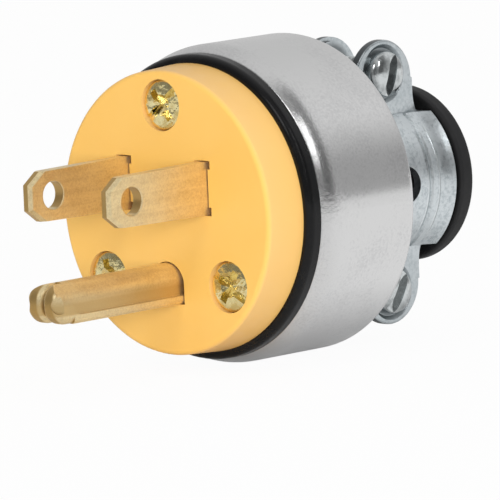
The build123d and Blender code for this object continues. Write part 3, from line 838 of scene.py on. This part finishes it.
class PLUG_OT_clamp_screws(Operator):
    """Make the two slotted clamp screws"""
    bl_idname = "plug.clamp_screws"
    bl_label = "Clamp Screws"

    def execute(self, context):
        sizes = context.scene.plug_screws
        steel = bright_screw_finish(context.scene.plug_finishes)
        facing_right = Matrix.Rotation(math.pi / 2, 4, "Y")
        recess = {
            "Dome Share": CLAMP_DOME, "Cone Radius": CLAMP_CONE,
            "Cross Length": CLAMP_CROSS_SHARE * sizes.clamp_slot_width,
            "Cross Depth": CLAMP_CROSS_SHARE * sizes.clamp_slot_depth,
        }
        screws = []
        for side, slot_angle in CLAMP_SCREWS.values():
            seat = (sizes.clamp_seat, sizes.clamp_y, side * sizes.clamp_height)
            screws.append((
                screw_sizes(sizes, "clamp", slot_angle, recess, steel),
                Matrix.Translation(seat) @ facing_right))
        screws_piece(
            "clamp_screws", screws, steel, ["clamp_screw_" + name for name in CLAMP_SCREWS])
        return {"FINISHED"}


class PLUG_OT_bushing(Operator):
    """Finish the rubber cord bushing"""
    bl_idname = "plug.bushing"
    bl_label = "Cord Bushing"

    def execute(self, context):
        dress("cord_bushing", dusty_rubber(context.scene.plug_finishes))
        return {"FINISHED"}


# Stage

def floor_material(stage):
    """Pale floor that shows the camera and metal a light tone and keeps a soft shadow."""
    shading = Shading("pale_floor")
    aside = shading.spread(shading.part(shading.place, "X"), *FLOOR_UNDER_SHARES, *FLOOR_UNDER)
    behind = shading.spread(shading.along(shading.place, "Y"), *FLOOR_BEHIND_SHARES, *FLOOR_BEHIND)
    ray = shading.nodes.new("ShaderNodeLightPath").outputs
    share = shading.math(
        "MULTIPLY_ADD", ray["Is Glossy Ray"], shading.math("MULTIPLY", aside, behind),
        shading.math("MULTIPLY", ray["Is Camera Ray"], FLOOR_SEEN))
    matt = shading.node("ShaderNodeBsdfDiffuse", (*stage.floor_colour, 1.0)).outputs["BSDF"]
    white = shading.glow(stage.backdrop, 1.0)
    shading.show(shading.node("ShaderNodeMixShader", share, matt, white).outputs["Shader"])
    return shading.material


def tent_material(stage):
    """Soft light from a tent: darker low on the right, behind the camera and in a gap on the right."""
    shading = Shading("light_tent")
    x, y, z = (shading.along(shading.place, axis) for axis in "XYZ")
    height = shading.math("MULTIPLY_ADD", x, TENT_TILT, z)
    wall_share = stage.wall_level / stage.ceiling_level
    ceiling = shading.spread(height, wall_share, 1.0, *TENT_CEILING, smooth=True)
    side = shading.spread(x, TENT_LEFT_SHARE * stage.ceiling_level, stage.ceiling_level, *TENT_SIDE)
    front = shading.spread(y, stage.front_share, 1.0, *TENT_FRONT, smooth=True)
    level = shading.math("MULTIPLY", shading.math("MULTIPLY", ceiling, side), front)
    off_middle = shading.math("ABSOLUTE", shading.math("SUBTRACT", y, GAP_MIDDLE))
    gap = shading.spread(off_middle, GAP_SHARE, 1.0, *GAP_EDGE, smooth=True)
    left_of_gap = shading.spread(x, 1.0, 0.0, *GAP_SIDE)
    gapped = shading.math("MULTIPLY", level, shading.math("MAXIMUM", gap, left_of_gap))
    shading.show(shading.glow((1.0, 1.0, 1.0), gapped))
    return shading.material


def white_world(stage):
    """A white backdrop for the camera and for reflections."""
    world = bpy.data.worlds.new("studio")
    world.use_nodes = True
    background = world.node_tree.nodes["Background"]
    background.inputs["Color"].default_value = (*stage.backdrop, 1.0)
    background.inputs["Strength"].default_value = 1.0
    bpy.context.scene.world = world


def staged_mesh(name, shape, material):
    """A mesh of the stage from a bmesh."""
    data = bpy.data.meshes.new(name)
    shape.to_mesh(data)
    shape.free()
    data.materials.append(material)
    staged = bpy.data.objects.new(name, data)
    bpy.context.scene.collection.objects.link(staged)
    return staged


def softbox(name, watts, target):
    """A rectangular lamp at its direction from the target, facing it."""
    direction, size = LAMPS[name]
    lamp = bpy.data.lights.new(name, "AREA")
    lamp.shape = "RECTANGLE"
    lamp.size, lamp.size_y = size
    lamp.energy = watts
    placed = bpy.data.objects.new(name, lamp)
    bpy.context.scene.collection.objects.link(placed)
    toward = Vector(direction).normalized()
    placed.location = target + LAMP_REACH * toward
    placed.rotation_euler = toward.to_track_quat("Z", "Y").to_euler()
    return placed


def camera_pose(stage, target):
    """Place and turn of the camera: round the target, then rolled about its view."""
    flat = math.cos(stage.elevation)
    back = Vector((
        math.sin(stage.azimuth) * flat, -math.cos(stage.azimuth) * flat, math.sin(stage.elevation)))
    right = Vector((0.0, 0.0, 1.0)).cross(back).normalized()
    up = back.cross(right)
    rolled_right = math.cos(stage.roll) * right - math.sin(stage.roll) * up
    rolled_up = math.sin(stage.roll) * right + math.cos(stage.roll) * up
    pose = Matrix((rolled_right, rolled_up, back)).transposed().to_4x4()
    pose.translation = target + stage.distance * back
    return pose


class PLUG_OT_stage(Operator):
    """Set the floor, the soft light and the camera"""
    bl_idname = "plug.stage"
    bl_label = "Stage"

    def execute(self, context):
        stage = context.scene.plug_stage
        target = Vector(stage.target)
        context.scene.view_settings.view_transform = "Standard"
        white_world(stage)

        floor = bmesh.new()
        below = Matrix.Translation((0.0, 0.0, CAD_BOX[0].z - stage.floor_drop))
        bmesh.ops.create_grid(floor, x_segments=1, y_segments=1, size=FLOOR_REACH, matrix=below)
        staged_mesh("floor", floor, floor_material(stage))

        tent = bmesh.new()
        bmesh.ops.create_uvsphere(
            tent, u_segments=TENT_SEGMENTS, v_segments=TENT_RINGS, radius=TENT_RADIUS)
        tent_object = staged_mesh("light_tent", tent, tent_material(stage))
        tent_object.visible_camera = False
        tent_object.visible_shadow = False

        front_lamp = softbox("front_lamp", stage.front_power, target)
        front_lamp.visible_glossy = False
        softbox("small_lamp", stage.spot_power, target)
        softbox("strip_lamp", stage.strip_power, target)

        lens = bpy.data.cameras.new("camera")
        lens.sensor_width = SENSOR_WIDTH
        lens.lens = stage.focal
        lens.clip_start, lens.clip_end = CAMERA_CLIP
        camera = bpy.data.objects.new("camera", lens)
        context.scene.collection.objects.link(camera)
        camera.matrix_world = camera_pose(stage, target)
        context.scene.camera = camera
        return {"FINISHED"}


# Panel and registration

PIECES = (
    PLUG_OT_front_body, PLUG_OT_liner, PLUG_OT_shell, PLUG_OT_contacts, PLUG_OT_terminals,
    PLUG_OT_face_screws, PLUG_OT_clamp, PLUG_OT_clamp_screws, PLUG_OT_bushing, PLUG_OT_stage,
)
GROUPS = {"plug_finishes": PlugFinishes, "plug_screws": PlugScrews, "plug_stage": PlugStage}


class PLUG_PT_pieces(Panel):
    """The plug's pieces and their sizes and colours"""
    bl_idname = "PLUG_PT_pieces"
    bl_label = "Grounded Plug"
    bl_space_type = "VIEW_3D"
    bl_region_type = "UI"
    bl_category = "Plug"

    def draw(self, context):
        layout = self.layout
        for piece in PIECES:
            layout.operator(piece.bl_idname)
        for group_name, group in GROUPS.items():
            box = layout.box()
            for name in group.__annotations__:
                box.prop(getattr(context.scene, group_name), name)


CLASSES = (*GROUPS.values(), *PIECES, PLUG_PT_pieces)


def register():
    """Register the classes and hang the properties on the scene."""
    for cls in CLASSES:
        bpy.utils.register_class(cls)
    for name, group in GROUPS.items():
        setattr(bpy.types.Scene, name, PointerProperty(type=group))


def unregister():
    """Take the properties and the classes away again."""
    for name in GROUPS:
        delattr(bpy.types.Scene, name)
    for cls in reversed(CLASSES):
        bpy.utils.unregister_class(cls)


def main():
    """Dress the plug piece by piece."""
    register()
    for piece in PIECES:
        group, name = piece.bl_idname.split(".")
        getattr(getattr(bpy.ops, group), name)()
    bpy.context.view_layer.update()


if __name__ == "__main__":
    main()
